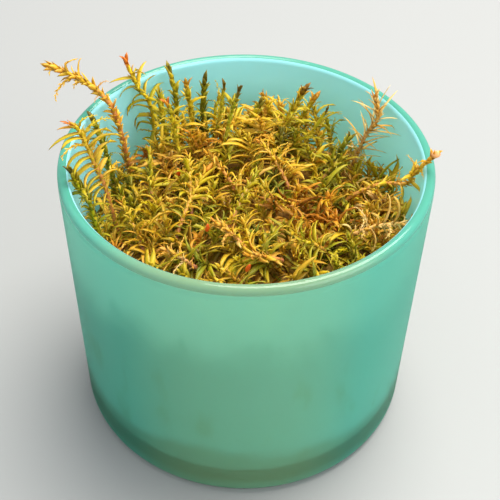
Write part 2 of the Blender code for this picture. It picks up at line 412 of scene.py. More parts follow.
soil_low, soil_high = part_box("soil_bed")
SOIL_RADIUS = soil_high.x
SOIL_SIDES = 150
SOIL_SIDE_RINGS = 7
SOIL_TOP_SHARES = (0.97, 0.92, 0.84, 0.74, 0.62, 0.48, 0.32, 0.16)
CRUMB_DEPTH = 0.9 * MM
SOIL_EDGE_WAVE = 1.6 * MM
SOIL_TOP_WAVE = 1.2 * MM


def ramp(tree, share, stops):
    """A colour by its share, from stops of a share and a colour."""
    node = add_node(tree, "ShaderNodeValToRGB", {"Fac": share})
    elements = node.color_ramp.elements
    for element, (position, colour) in zip(elements, (stops[0], stops[-1])):
        element.position, element.color = position, tint(*colour)
    for position, colour in stops[1:-1]:
        elements.new(position).color = tint(*colour)
    return node.outputs["Color"]


def make_soil_material():
    material, tree, shader = new_material("damp soil")
    crumbs = cloudy(tree, own_place(tree), scale=320, detail=6)
    colour = ramp(tree, crumbs, ((0.35, (22, 17, 11)), (0.7, (84, 66, 40))))
    normal = roughen(tree, crumbs, 0.4 * MM)
    set_inputs(tree, shader, {"Base Color": colour, "Roughness": 0.85, "Normal": normal})
    return material


def make_soil_bed():
    foot = soil_low.z + WELL_ROUNDING
    top = soil_high.z - SOIL_TOP_WAVE
    flat_radius = SOIL_RADIUS - WELL_ROUNDING
    rings = [(0, soil_low.z), (SOIL_RADIUS * 0.5, soil_low.z), (flat_radius, soil_low.z)]
    rings += arc_points(flat_radius, foot, WELL_ROUNDING, -60, 0, steps=3)
    edge = wave_round(SOIL_SIDES, SOIL_EDGE_WAVE, spread=3, seed=40)
    for k in range(SOIL_SIDE_RINGS):
        share = (k + 1) / SOIL_SIDE_RINGS
        crumbs = CRUMB_DEPTH * (0.5 + wave_round(SOIL_SIDES, 1, spread=26, seed=k * 0.8))
        rings.append((SOIL_RADIUS - crumbs, foot + share * (top - foot + edge)))
    for k, share in enumerate(SOIL_TOP_SHARES):
        bumps = wave_round(SOIL_SIDES, SOIL_TOP_WAVE, spread=8 * share, seed=50 + k)
        rings.append((SOIL_RADIUS * share, top + bumps))
    rings.append((0, top))
    bm, _ = turned_rings(rings, SOIL_SIDES)
    soil = mesh_object("soil", bm, [make_soil_material()])
    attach(soil, "root")
    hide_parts("soil_bed")


make_soil_bed()


# ---- Leaves, side branches and stems of the moss ----
# A feather moss shoot is a thin brown stem clothed in small scale leaves. Side branches arch out of it:
# most are smooth curved blades, and some are clothed in still smaller leaves.

GOLDEN_TURN = math.radians(137.5)
TALLEST_TIP = 79 * MM


def curl_line(bend, sweep, rings):
    """A unit-long line that starts along +Z and curls outwards to +X by bend, and sideways by sweep."""
    points = [np.zeros(3)]
    directions = []
    for k in range(rings + 1):
        s = k / rings
        angle = bend * s**1.3
        aside = sweep * s
        d = np.array([math.sin(angle) * math.cos(aside), math.sin(aside), math.cos(angle) * math.cos(aside)])
        directions.append(d / np.linalg.norm(d))
        if k < rings:
            points.append(points[-1] + directions[-1] / rings)
    return np.array(points), np.array(directions)


def set_point_values(mesh, label, values):
    data = mesh.attributes.new(label, "FLOAT", "POINT")
    data.data.foreach_set("value", np.array(values, np.float32))


def shape_object(name, verts, faces, along, edge, smooth):
    """One leaf or branch shape, which carries how far along it a point is and how near its edge."""
    mesh = bpy.data.meshes.new(name)
    mesh.from_pydata([tuple(v) for v in verts], [], faces)
    set_point_values(mesh, "along", along)
    set_point_values(mesh, "edge", edge)
    bm = bmesh.new()
    bm.from_mesh(mesh)
    bmesh.ops.recalc_face_normals(bm, faces=bm.faces)
    for face in bm.faces:
        face.smooth = smooth
    bm.to_mesh(mesh)
    bm.free()
    return bpy.data.objects.new(name, mesh)


def blade(name, bend, sweep, width, thickness, rings=5, stand=0):
    """A thin pointed blade with a shallow channel down its upper side. stand sets its foot off the stem."""
    foot_width, hollow, thinning = 0.55, 0.45, 0.6
    points, directions = curl_line(bend, sweep, rings)
    points[:, 0] += stand
    verts, faces, along, edge = [], [], [], []
    for k in range(rings):
        s = k / rings
        d = directions[k]
        across = np.cross(d, np.array([1.0, 0, 0.3]))
        across /= np.linalg.norm(across)
        upper = np.cross(d, across)
        # It widens over its first fifth, then narrows in a long curve to its point.
        half = width / 2 * min(1, foot_width + 2.2 * s) * (1 - s**2.4) ** 0.8
        deep = thickness / 2 * (1 - thinning * s)
        rim = upper * half * hollow
        verts += [points[k] - across * half + rim, points[k] + upper * deep]
        verts += [points[k] + across * half + rim, points[k] - upper * deep]
        along += [s] * 4
        edge += [1, 0, 1, 0]
    verts.append(points[rings])
    along.append(1)
    edge.append(0.5)
    for k in range(rings - 1):
        for i in range(4):
            j = (i + 1) % 4
            faces.append((4 * k + i, 4 * k + j, 4 * k + 4 + j, 4 * k + 4 + i))
    last = 4 * (rings - 1)
    faces += [(last + i, last + (i + 1) % 4, last + 4) for i in range(4)]
    faces.append((3, 2, 1, 0))
    return shape_object(name, verts, faces, along, edge, True)


def cross_axes(direction):
    """Two axes square to a direction and to each other."""
    a = np.cross(direction, np.array([0, 1.0, 0.2]))
    a /= np.linalg.norm(a)
    return a, np.cross(direction, a)


def side_branch(name, bend, sweep, girth, scales, rings=6):
    """A tapering side branch, clothed in small pointed leaves that stand off it a little."""
    stem_taper, leaf_taper = 0.8, 0.62
    leaf_length, leaf_half_width, leaf_lift = 0.19, 0.062, 0.062
    points, directions = curl_line(bend, sweep, rings)
    verts, faces, along, edge = [], [], [], []
    for k in range(rings + 1):
        s = k / rings
        a, b = cross_axes(directions[k])
        r = girth * (1 - stem_taper * s)
        for i in range(3):
            turn = math.tau * i / 3
            verts.append(points[k] + r * (math.cos(turn) * a + math.sin(turn) * b))
            along.append(s)
            edge.append(0)
    for k in range(rings):
        for i in range(3):
            j = (i + 1) % 3
            faces.append((3 * k + i, 3 * k + j, 3 * k + 3 + j, 3 * k + 3 + i))
    faces += [(2, 1, 0), (3 * rings, 3 * rings + 1, 3 * rings + 2)]
    for n in range(scales):
        s = (n + 0.5) / scales
        k = min(int(s * rings), rings - 1)
        mix = s * rings - k
        p = points[k] * (1 - mix) + points[k + 1] * mix
        d = directions[k]
        a, b = cross_axes(d)
        turn = n * GOLDEN_TURN
        out = math.cos(turn) * a + math.sin(turn) * b
        side = np.cross(d, out)
        size = 1 - leaf_taper * s
        length = leaf_length * size
        wide = leaf_half_width * size
        belly = d * length * 0.45 + out * (girth + 0.045 * size)
        point = d * length + out * (girth * 0.6 + leaf_lift * size)
        start = len(verts)
        verts += [p - side * wide, p + side * wide, p + belly, p + point]
        along += [s, s, s, min(1, s + 0.12)]
        edge += [0, 0, 0.6, 1]
        faces += [(start, start + 1, start + 2), (start, start + 2, start + 3)]
        faces += [(start + 1, start + 3, start + 2), (start, start + 3, start + 1)]
    return shape_object(name, verts, faces, along, edge, False)


def shape_set(name, objects):
    collection = bpy.data.collections.new(name)
    for obj in objects:
        collection.objects.link(obj)
    return collection


def leaf_tree():
    """Geometry Nodes that turn guide lines into round stems, and set scale leaves and side branches along
    them. The lines carry the stem's girth, and each leaf's length and spread, from point to point."""
    tree = bpy.data.node_groups.new("leafy stems", "GeometryNodeTree")
    sockets = {
        "Guides": "Geometry",
        "Branch Shapes": "Collection",
        "Branch Gap": "Float",
        "Branch Turn": "Float",
        "Scale Shapes": "Collection",
        "Scale Gap": "Float",
        "Scale Turn": "Float",
        "Turn Jitter": "Float",
        "Seed": "Int",
        "Stem Material": "Material",
        "Leaf Material": "Material",
    }
    for label, kind in sockets.items():
        tree.interface.new_socket(label, in_out="INPUT", socket_type="NodeSocket" + kind)
    tree.interface.new_socket("Moss", in_out="OUTPUT", socket_type="NodeSocketGeometry")
    given = add_node(tree, "NodeGroupInput").outputs
    shortest_leaf = 0.4 * MM
    shape_draws = 100
    tone_stray, lean_stray, roll_stray = (-0.13, 0.13), (-0.22, 0.22), (-0.5, 0.5)
    length_range = (0.72, 1.2)

    def read(label):
        kept = add_node(tree, "GeometryNodeInputNamedAttribute", {"Name": label}, data_type="FLOAT")
        return kept.outputs["Attribute"]

    def seed_of(salt):
        return arithmetic(tree, "ADD", given["Seed"], salt)

    def varied(value, limits, salt, operation="ADD"):
        """A value with a random amount between two limits added to it, or multiplied by it."""
        low, high = limits
        draw = add_node(tree, "FunctionNodeRandomValue", {2: low, 3: high, "Seed": seed_of(salt)})
        return arithmetic(tree, operation, draw.outputs[1], value)

    def turned(rotation, axis, angle):
        turn = add_node(tree, "FunctionNodeAxisAngleToRotation", {"Axis": axis, "Angle": angle})
        inputs = {"Rotation": rotation, "Rotate By": turn.outputs["Rotation"]}
        both = add_node(tree, "FunctionNodeRotateRotation", inputs, rotation_space="LOCAL")
        return both.outputs["Rotation"]

    def faced(geometry, material):
        inputs = {"Geometry": geometry, "Material": given[material]}
        return add_node(tree, "GeometryNodeSetMaterial", inputs).outputs["Geometry"]

    lines = add_node(tree, "GeometryNodeMeshToCurve", {"Mesh": given["Guides"]}).outputs["Curve"]

    def leaf_layer(kind, salt):
        """One layer of leaves: "Branch" for the side branches, "Scale" for the scale leaves."""
        size, spread = read(kind.lower() + "_size"), read(kind.lower() + "_spread")
        spacing = {"Curve": lines, "Length": given[kind + " Gap"]}
        row = add_node(tree, "GeometryNodeCurveToPoints", spacing, mode="LENGTH")
        too_short = arithmetic(tree, "LESS_THAN", size, shortest_leaf)
        bare = {"Geometry": row.outputs["Points"], "Selection": too_short}
        kept = add_node(tree, "GeometryNodeDeleteGeometry", bare, domain="POINT").outputs["Geometry"]
        tone = {"Geometry": kept, "Name": "tone", "Value": varied(read("tone"), tone_stray, salt)}
        toned = add_node(tree, "GeometryNodeStoreNamedAttribute", tone, data_type="FLOAT", domain="POINT")
        rank = add_node(tree, "GeometryNodeInputIndex").outputs["Index"]
        winding = arithmetic(tree, "MULTIPLY", rank, given[kind + " Turn"])
        stray = varied(given["Turn Jitter"], (-1, 1), salt + 1, "MULTIPLY")
        rotation = turned(row.outputs["Rotation"], (0, 0, 1), arithmetic(tree, "ADD", winding, stray))
        rotation = turned(rotation, (0, 1, 0), varied(spread, lean_stray, salt + 2))
        rotation = turned(rotation, (0, 0, 1), varied(0, roll_stray, salt + 3))
        length = varied(size, length_range, salt + 5, "MULTIPLY")
        shapes = add_node(tree, "GeometryNodeCollectionInfo", {
            "Collection": given[kind + " Shapes"], "Separate Children": True, "Reset Children": True})
        draws = {4: 0, 5: shape_draws, "Seed": seed_of(salt + 4)}
        pick = add_node(tree, "FunctionNodeRandomValue", draws, data_type="INT")
        placed = add_node(tree, "GeometryNodeInstanceOnPoints", {
            "Points": toned.outputs["Geometry"], "Instance": shapes.outputs["Instances"],
            "Pick Instance": True, "Instance Index": pick.outputs[2], "Rotation": rotation, "Scale": length})
        single = add_node(tree, "GeometryNodeRealizeInstances", {"Geometry": placed.outputs["Instances"]})
        return faced(single.outputs["Geometry"], "Leaf Material")

    outline = add_node(tree, "GeometryNodeCurvePrimitiveCircle", {"Resolution": 5, "Radius": 1})
    round_stem = {"Curve": lines, "Profile Curve": outline.outputs["Curve"], "Scale": read("girth")}
    stems = add_node(tree, "GeometryNodeCurveToMesh", {**round_stem, "Fill Caps": True})
    bare_stems = faced(stems.outputs["Mesh"], "Stem Material")
    whole = add_node(tree, "GeometryNodeJoinGeometry")
    for part in (bare_stems, leaf_layer("Branch", salt=10), leaf_layer("Scale", salt=30)):
        set_inputs(tree, whole, {"Geometry": part})
    add_node(tree, "NodeGroupOutput", {"Moss": whole.outputs["Geometry"]})
    return tree


MOSS_TONES = (
    (0.0, (80, 108, 6)),
    (0.22, (160, 164, 12)),
    (0.42, (222, 198, 24)),
    (0.6, (244, 198, 52)),
    (0.8, (242, 184, 74)),
    (1.0, (246, 222, 150)),
)


def attribute(tree, name):
    return add_node(tree, "ShaderNodeAttribute", attribute_name=name).outputs["Fac"]


def moss_colours(tree):
    """The moss's own colour from its tone: 0 is dark green, 0.5 golden yellow and 1 cream."""
    return ramp(tree, attribute(tree, "tone"), MOSS_TONES)


def make_leaf_material():
    """Thin moist leaves, from dark green through yellow to cream, which let some light through."""
    light_through = 0.37
    material, tree, shader = new_material("moss leaf")
    place = own_place(tree)
    along = attribute(tree, "along")
    foot = fade(tree, along, 0.35, 0, "LINEAR")
    tip = fade(tree, along, 0.45, 1, "LINEAR")
    mottle = cloudy(tree, place, scale=700, detail=3)
    stains = (
        (foot, 0.45, tint(150, 100, 28)),
        (tip, 0.3, tint(236, 198, 76)),
        # Painted highlight: the edges of every leaf are lightened.
        (attribute(tree, "edge"), 0.2, tint(244, 214, 104)),
        (attribute(tree, "ripe"), 0.85, tint(232, 112, 36)),
        (attribute(tree, "dark"), 0.85, tint(60, 42, 28)),
        (mottle, 0.25, tint(150, 104, 36)),
    )
    colour = moss_colours(tree)
    for where, strength, stain in stains:
        colour = blend(tree, arithmetic(tree, "MULTIPLY", where, strength), colour, stain)
    normal = roughen(tree, cloudy(tree, place, scale=2500), 0.06 * MM, strength=0.5)
    set_inputs(tree, shader, {
        "Base Color": colour, "Roughness": 0.4, "Specular IOR Level": 0.35, "Normal": normal})
    glow = add_node(tree, "ShaderNodeBsdfTranslucent", {"Color": colour})
    whole = lights_mixed(tree, light_through, shader.outputs["BSDF"], glow.outputs["BSDF"])
    set_inputs(tree, tree.nodes["Material Output"], {"Surface": whole})
    return material


def make_stem_material():
    """Wiry stems, green where young and red-brown where old."""
    material, tree, shader = new_material("moss stem")
    colour = blend(tree, attribute(tree, "brown"), moss_colours(tree), tint(176, 104, 62))
    colour = blend(tree, attribute(tree, "dark"), colour, tint(56, 38, 22))
    set_inputs(tree, shader, {"Base Color": colour, "Roughness": 0.45})
    return material


BRANCH_SHAPES = shape_set("side branches", [
    side_branch("side_branch", 1.5, 0.1, 0.022, 11),
    blade("arc_1", 1.7, 0.1, 0.165, 0.06, 6),
    blade("arc_2", 1.3, -0.2, 0.145, 0.055, 6),
    blade("arc_3", 1.9, 0.3, 0.13, 0.055, 6),
    blade("arc_4", 1.0, 0.15, 0.17, 0.06, 6),
    blade("arc_5", 2.3, -0.3, 0.12, 0.05, 6),
])
BROAD_SHAPES = shape_set("broad side branches", [
    side_branch("broad_branch", 1.4, 0.1, 0.04, 13),
    blade("sickle_1", 1.5, 0.1, 0.2, 0.08, 7),
    blade("sickle_2", 1.0, -0.25, 0.17, 0.07, 7),
    blade("sickle_3", 1.9, 0.25, 0.18, 0.075, 7),
])
FAN_SHAPES = shape_set("fanned side branches", [
    blade("fan_1", 0.5, 0.1, 0.085, 0.04, 5),
    blade("fan_2", 0.75, -0.15, 0.075, 0.04, 5),
    blade("fan_3", 0.25, 0.05, 0.08, 0.04, 5),
])
SCALE_SHAPES = shape_set("scale leaves", [
    blade("scale_leaf_1", 0.4, 0, 0.5, 0.1, 3, 0.12),
    blade("scale_leaf_2", 0.9, 0.2, 0.42, 0.1, 3, 0.12),
    blade("scale_leaf_3", -0.2, -0.2, 0.46, 0.1, 3, 0.12),
])
LEAFY_STEMS = leaf_tree()
LEAF_MATERIAL = make_leaf_material()
STEM_MATERIAL = make_stem_material()
GUIDE_VALUES = (
    "girth", "branch_size", "branch_spread", "scale_size", "scale_spread", "tone", "ripe", "dark", "brown"
)


def guide_mesh(name, stems):
    """One mesh of open lines, a line for each stem. A stem is its points and, for each, the guide values."""
    mesh = bpy.data.meshes.new(name)
    points, edges = [], []
    values = {label: [] for label in GUIDE_VALUES}
    for stem in stems:
        first = len(points)
        points += [tuple(p) for p in stem["points"]]
        edges += [(first + k, first + k + 1) for k in range(len(stem["points"]) - 1)]
        for label in GUIDE_VALUES:
            values[label] += list(np.broadcast_to(stem[label], len(stem["points"])))
    mesh.from_pydata(points, edges, [])
    for label in GUIDE_VALUES:
        set_point_values(mesh, label, values[label])
    return mesh


def press_inside_glass(mesh):
    """Leaves that reach the cup's inner wall lie flat against it, and those over the tallest tip droop."""
    limit = WELL_RADIUS - 0.25 * MM
    free_height = CUP_HEIGHT + 0.4 * MM
    droop_share = 0.35
    co = np.zeros(len(mesh.vertices) * 3, np.float32)
    mesh.vertices.foreach_get("co", co)
    co = co.reshape(-1, 3)
    reach = np.hypot(co[:, 0], co[:, 1])
    shut_in = (co[:, 2] < free_height) & (reach > limit)
    co[shut_in, :2] *= (limit / reach[shut_in])[:, None]
    droops = co[:, 2] > TALLEST_TIP
    co[droops, 2] = TALLEST_TIP + (co[droops, 2] - TALLEST_TIP) * droop_share
    mesh.vertices.foreach_set("co", co.reshape(-1))
    mesh.update()


def dress_stems(name, stems, settings):
    """Grows the moss on its guide lines and returns it as one plain mesh object."""
    guides = guide_mesh(name + "_guides", stems)
    obj = add_object(name, guides)
    growth = obj.modifiers.new("growth", "NODES")
    growth.node_group = LEAFY_STEMS
    given = {
        "Branch Shapes": BRANCH_SHAPES,
        "Branch Gap": 0.7 * MM,
        "Branch Turn": GOLDEN_TURN,
        "Scale Shapes": SCALE_SHAPES,
        "Scale Gap": 0.42 * MM,
        "Scale Turn": GOLDEN_TURN,
        "Turn Jitter": 0.4,
        "Stem Material": STEM_MATERIAL,
        "Leaf Material": LEAF_MATERIAL,
        **settings,
    }
    for item in LEAFY_STEMS.interface.items_tree:
        if item.in_out == "INPUT" and item.name in given:
            growth[item.identifier] = given[item.name]
    depsgraph = bpy.context.evaluated_depsgraph_get()
    grown = obj.evaluated_get(depsgraph)
    mesh = bpy.data.meshes.new_from_object(grown, preserve_all_data_layers=True, depsgraph=depsgraph)
    obj.modifiers.clear()
    obj.data = mesh
    bpy.data.meshes.remove(guides)
    mesh.name = name
    mesh.materials.pop(index=0)
    press_inside_glass(mesh)
    return obj


# ---- Cushion mat ----
# Under the green shoots the old stems and leaves are matted into a brown felt, which fills the cup
# from the soil up.

cushion_low, cushion_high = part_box("moss_cushion")
CUSHION_RADIUS = cushion_high.x
MAT_SIDES = 144
MAT_DEPTH = 6 * MM
MAT_SIDE_RINGS = 12
MAT_TOP_WAVE = 1.6 * MM
MAT_SIDE_WAVE = 0.45 * MM
CUSHION_EDGE = CUSHION_RADIUS - 0.5 * MM
MAT_TOP_SHARES = (0.985, 0.95, 0.9, 0.84, 0.77, 0.69, 0.6, 0.5, 0.4, 0.3, 0.2, 0.1)

cushion_mesh = frame["nodes"]["moss_cushion"].data
CUSHION_TREE = BVHTree.FromPolygons(
    [v.co for v in cushion_mesh.vertices], [tuple(p.vertices) for p in cushion_mesh.polygons]
)


def cushion_top(x, y):
    """Height of the short shoots' tips over a point of the cushion."""
    well_above = 0.2
    reach = math.hypot(x, y)
    inside = min(1, CUSHION_EDGE / max(reach, 1e-6))
    hit = CUSHION_TREE.ray_cast(Vector((x * inside, y * inside, well_above)), Vector((0, 0, -1)))
    return hit[0].z


def make_mat_material():
    material, tree, shader = new_material("brown moss felt")
    strands = cloudy(tree, drawn_upwards(tree, own_place(tree), squeeze=0.25), scale=420, detail=5)
    colour = ramp(tree, strands, ((0.34, (108, 74, 18)), (0.5, (146, 104, 30)), (0.68, (206, 162, 60))))
    normal = roughen(tree, strands, 0.5 * MM)
    set_inputs(tree, shader, {"Base Color": colour, "Roughness": 0.8, "Normal": normal})
    return material


def make_mat():
    angles = np.linspace(0, math.tau, MAT_SIDES, endpoint=False)

    def top_ring(share, k):
        radius = CUSHION_RADIUS * share
        rough = wave_round(MAT_SIDES, MAT_TOP_WAVE, spread=14 * share, seed=20 + k)
        tips = np.array([cushion_top(radius * math.cos(a), radius * math.sin(a)) for a in angles])
        return (radius, tips - MAT_DEPTH + rough)

    _, rim_heights = top_ring(1, 0)
    rings = [(0, cushion_low.z), (CUSHION_RADIUS * 0.6, cushion_low.z)]
    for k in range(MAT_SIDE_RINGS):
        rough = wave_round(MAT_SIDES, MAT_SIDE_WAVE, spread=22, seed=60 + k * 0.7)
        height = cushion_low.z + k / MAT_SIDE_RINGS * (rim_heights - cushion_low.z)
        rings.append((CUSHION_EDGE + rough, height))
    rings += [top_ring(share, k) for k, share in enumerate(MAT_TOP_SHARES)]
    rings.append((0, cushion_top(0, 0) - MAT_DEPTH))
    bm, _ = turned_rings(rings, MAT_SIDES)
    mat = mesh_object("moss_mat", bm, [make_mat_material()])
    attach(mat, "root")
    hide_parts("moss_cushion")


make_mat()


# ---- Short shoots of the cushion ----
# A crowd of short leafy shoots grows out of the mat, leaning every way: golden at the left and the back,
# greener to the right and pale at its right edge. A patch right of the middle is ripe and orange, and one
# at the front left is withered. A few longer shoots lean over the crowd, and three bear a small red bud.

MOUND_CENTRE = Vector((3, -4)) * MM
MOUND_REACH = Vector((35, 33)) * MM
SHOOT_SPACING = 4.2 * MM
ROW_SQUEEZE = 0.87
RIPE_PATCH = Vector((13, -3.5)) * MM
RIPE_REACH = Vector((10, 6)) * MM
WITHERED_PATCH = Vector((-23, -14)) * MM
WITHERED_REACH = Vector((11, 7)) * MM
PREVAILING_LEAN = math.radians(150)


def smooth_step(low, high, value):
    share = np.clip((value - low) / (high - low), 0, 1)
    return share * share * (3 - 2 * share)


def bezier(a, b, c, steps):
    t = np.linspace(0, 1, steps)[:, None]
    return (1 - t) ** 2 * np.array(a) + 2 * t * (1 - t) * np.array(b) + t**2 * np.array(c)


def drift_over(x, y, spread, layer=0):
    """A value from -1 to 1 that changes slowly over the cushion, in its own way on each layer."""
    return noise.noise(Vector((x, y, 0)) / spread + Vector((0, 0, layer)))


def reach_from(x, y, patch, size):
    """How far a place is from the middle of a patch, where 1 is the patch's edge."""
    return math.hypot((x - patch.x) / size.x, (y - patch.y) / size.y)


def short_shoot(x, y, rng):
    """One short shoot: rooted in the mat, its tip about at the cushion's top over (x, y)."""
    steps = 9
    behind = float(smooth_step(4 * MM, 20 * MM, y)) * float(smooth_step(30 * MM, 14 * MM, x))
    top = cushion_top(x, y) + behind * rng.uniform(0, 6) * MM
    heading = PREVAILING_LEAN + 2.6 * drift_over(x, y, 13 * MM, layer=3) + rng.uniform(-1.3, 1.3)
    lean = rng.uniform(1.0, 5.5) * (1 - 0.4 * behind) * MM
    out = Vector((math.cos(heading), math.sin(heading), 0))
    tip = Vector((x, y, top + rng.uniform(-3.2, 1.0) * MM))
    rise = Vector((0, 0, rng.uniform(10, 14) * MM))
    foot = tip - out * lean - rise
    middle = foot + out * lean * 0.3 + rise * 0.7

    ripe = float(smooth_step(1.2, 0.6, reach_from(x, y, RIPE_PATCH, RIPE_REACH))) * rng.uniform(0.5, 0.95)
    rusty = min(max(0, drift_over(x, y, 7 * MM, layer=9) - 0.12) * 1.4, 0.45)
    withered = float(smooth_step(1.2, 0.4, reach_from(x, y, WITHERED_PATCH, WITHERED_REACH)))
    withered *= rng.uniform(0.2, 0.55)
    greener = float(smooth_step(6 * MM, 22 * MM, x)) * 0.1
    golden = float(smooth_step(2 * MM, -28 * MM, x)) * 0.08 + float(smooth_step(2 * MM, 20 * MM, y)) * 0.08
    pale = float(smooth_step(16 * MM, 30 * MM, x)) * 0.3
    mixed = 0.6 * drift_over(x, y, 5 * MM) + rng.uniform(-0.16, 0.16)
    length = rng.uniform(6.0, 9.5) * MM
    share = np.linspace(0, 1, steps)
    return {
        "points": bezier(foot, middle, tip, steps),
        "girth": (0.46 - 0.2 * share) * MM,
        "branch_size": length * smooth_step(0.1, 0.35, share) * (1 - 0.6 * smooth_step(0.72, 1, share)),
        "branch_spread": np.radians(72 - 44 * share),
        "scale_size": 1.6 * MM * (0.8 + 0.5 * share),
        "scale_spread": np.radians(30 - 14 * share),
        "tone": 0.33 + golden + pale - greener + mixed,
        "ripe": max(ripe, rusty, withered),
        "dark": 0,
        "brown": np.clip(0.9 - 0.8 * share + rng.uniform(-0.3, 0.3), 0, 1),
    }


def patch_of(x, y):
    """The part of the crowd that a short shoot belongs to."""
    if y > 12 * MM:
        return "back"
    if y < -16 * MM:
        return "front"
    if x < -10 * MM:
        return "left"
    return "right" if x > 14 * MM else "middle"


def make_short_shoots():
    rng = random.Random(11)
    stray = 0.35
    patches = {"left": [], "front": [], "middle": [], "right": [], "back": []}
    rows = int(2 * CUSHION_RADIUS / (SHOOT_SPACING * ROW_SQUEEZE)) + 1
    for j in range(rows):
        for i in range(rows):
            x = -CUSHION_RADIUS + (i + 0.5 * (j % 2)) * SHOOT_SPACING
            x += rng.uniform(-stray, stray) * SHOOT_SPACING
            y = -CUSHION_RADIUS + j * SHOOT_SPACING * ROW_SQUEEZE
            y += rng.uniform(-stray, stray) * SHOOT_SPACING
            across, along = abs(x - MOUND_CENTRE.x) / MOUND_REACH.x, abs(y - MOUND_CENTRE.y) / MOUND_REACH.y
            in_mound = (across**2.5 + along**2.5) ** 0.4 <= 1.1
            if in_mound and math.hypot(x, y) <= CUSHION_RADIUS - 1.2 * MM:
                patches[patch_of(x, y)].append(short_shoot(x, y, rng))
    for k, (side, shoots) in enumerate(patches.items()):
        settings = {"Seed": 100 + k, "Branch Turn": math.radians(171), "Turn Jitter": 0.5}
        crowd = dress_stems("short_shoots_" + side, shoots, settings)
        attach(crowd, "root")
        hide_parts("moss_cushion")


# Longer shoots that lean over the crowd: where each leaves it, where its tip is, how high its tip stands
# above the crowd, and its tone. Places and heights are in millimetres.
LEANING = (
    ((-15, -10), (-9, 3), 4.5, 0.55),
    ((-4, -9), (3, 4), 4.0, 0.3),
    ((-21, 0), (-22, 10), 7.0, 0.35),
    ((-12, -3), (-13, 8), 5.5, 0.45),
    ((1, -15), (-6, -12), 2.5, 0.8),
    ((8, -17), (1, -20), 2.0, 0.7),
    ((-10, -19), (-17, -17), 2.0, 0.85),
    ((10, 6), (3, 13), 4.0, 0.6),
    ((18, -14), (11, -17), 2.5, 0.4),
    ((16, 8), (22, 12), 4.0, 0.25),
    ((-22, -12), (-27, -4), 5.0, 0.5),
    ((-2, 4), (-9, 9), 5.0, 0.65),
)


def above_crowd(x, y, height):
    """The place at a height over the short shoots' tips, with its sizes given in millimetres."""
    return Vector((x * MM, y * MM, cushion_top(x * MM, y * MM) + height * MM))


def make_leaning_shoots():
    steps = 12
    share = np.linspace(0, 1, steps)
    leafy = smooth_step(0.05, 0.3, share) * (1 - 0.65 * smooth_step(0.7, 1, share))
    shoots = []
    for foot_place, tip_place, height, tone in LEANING:
        foot = above_crowd(*foot_place, -3)
        tip = above_crowd(*tip_place, height)
        middle = (foot + tip) / 2
        middle.z = tip.z - 1 * MM
        shoots.append({
            "points": bezier(foot, middle, tip, steps),
            "girth": (0.5 - 0.22 * share) * MM,
            "branch_size": 6.5 * MM * leafy,
            "branch_spread": np.radians(75 - 40 * share),
            "scale_size": 1.9 * MM * (0.8 + 0.4 * share),
            "scale_spread": np.radians(30 - 14 * share),
            "tone": tone,
            "ripe": 0.5 * smooth_step(0.85, 1, share),
            "dark": 0,
            "brown": 1 - 0.8 * share,
        })
    settings = {"Seed": 210, "Branch Gap": 0.85 * MM, "Branch Turn": math.radians(178), "Turn Jitter": 0.25}
    leaning = dress_stems("leaning_shoots", shoots, settings)
    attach(leaning, "root")
    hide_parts("moss_cushion")


def make_buds(name, places, radius, height, colour, node):
    """Small plump buds, each at the tip of a shoot and leaning its own way, as one piece."""
    bm = bmesh.new()
    for k, place in enumerate(places):
        sideways, forwards = 0.25 * (1 - k * 0.6), 0.2
        made = bmesh.ops.create_icosphere(bm, subdivisions=3, radius=1)
        for vert in made["verts"]:
            taper = 1 - 0.35 * max(0, vert.co.z)
            x, y, z = vert.co.x * radius * taper, vert.co.y * radius * taper, vert.co.z * height
            vert.co = place + Vector((x + sideways * z, y - forwards * z, z))
    for face in bm.faces:
        face.smooth = True
    material, tree, shader = new_material(name.replace("_", " "))
    set_inputs(tree, shader, {"Base Color": colour, "Roughness": 0.4})
    buds = mesh_object(name, bm, [material])
    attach(buds, "root")
    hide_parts(node)


RED_BUDS = [above_crowd(x, y, height=1.3) for x, y in ((0.8, -22.3), (-8, -12.1), (-15.6, 8.4))]

make_short_shoots()
make_leaning_shoots()
make_buds("red_buds", RED_BUDS, 0.5 * MM, 1.35 * MM, tint(236, 92, 30), "moss_cushion")


# ---- Tall shoots ----
# Single shoots that stand out of the cushion, some over the rim. Each keeps its own habit: leafy and
# arching, tight and pointed like a spear, wiry and nearly bare, or feathered with thin pale branches. The
# one that leans over the rim ends in a round bud.

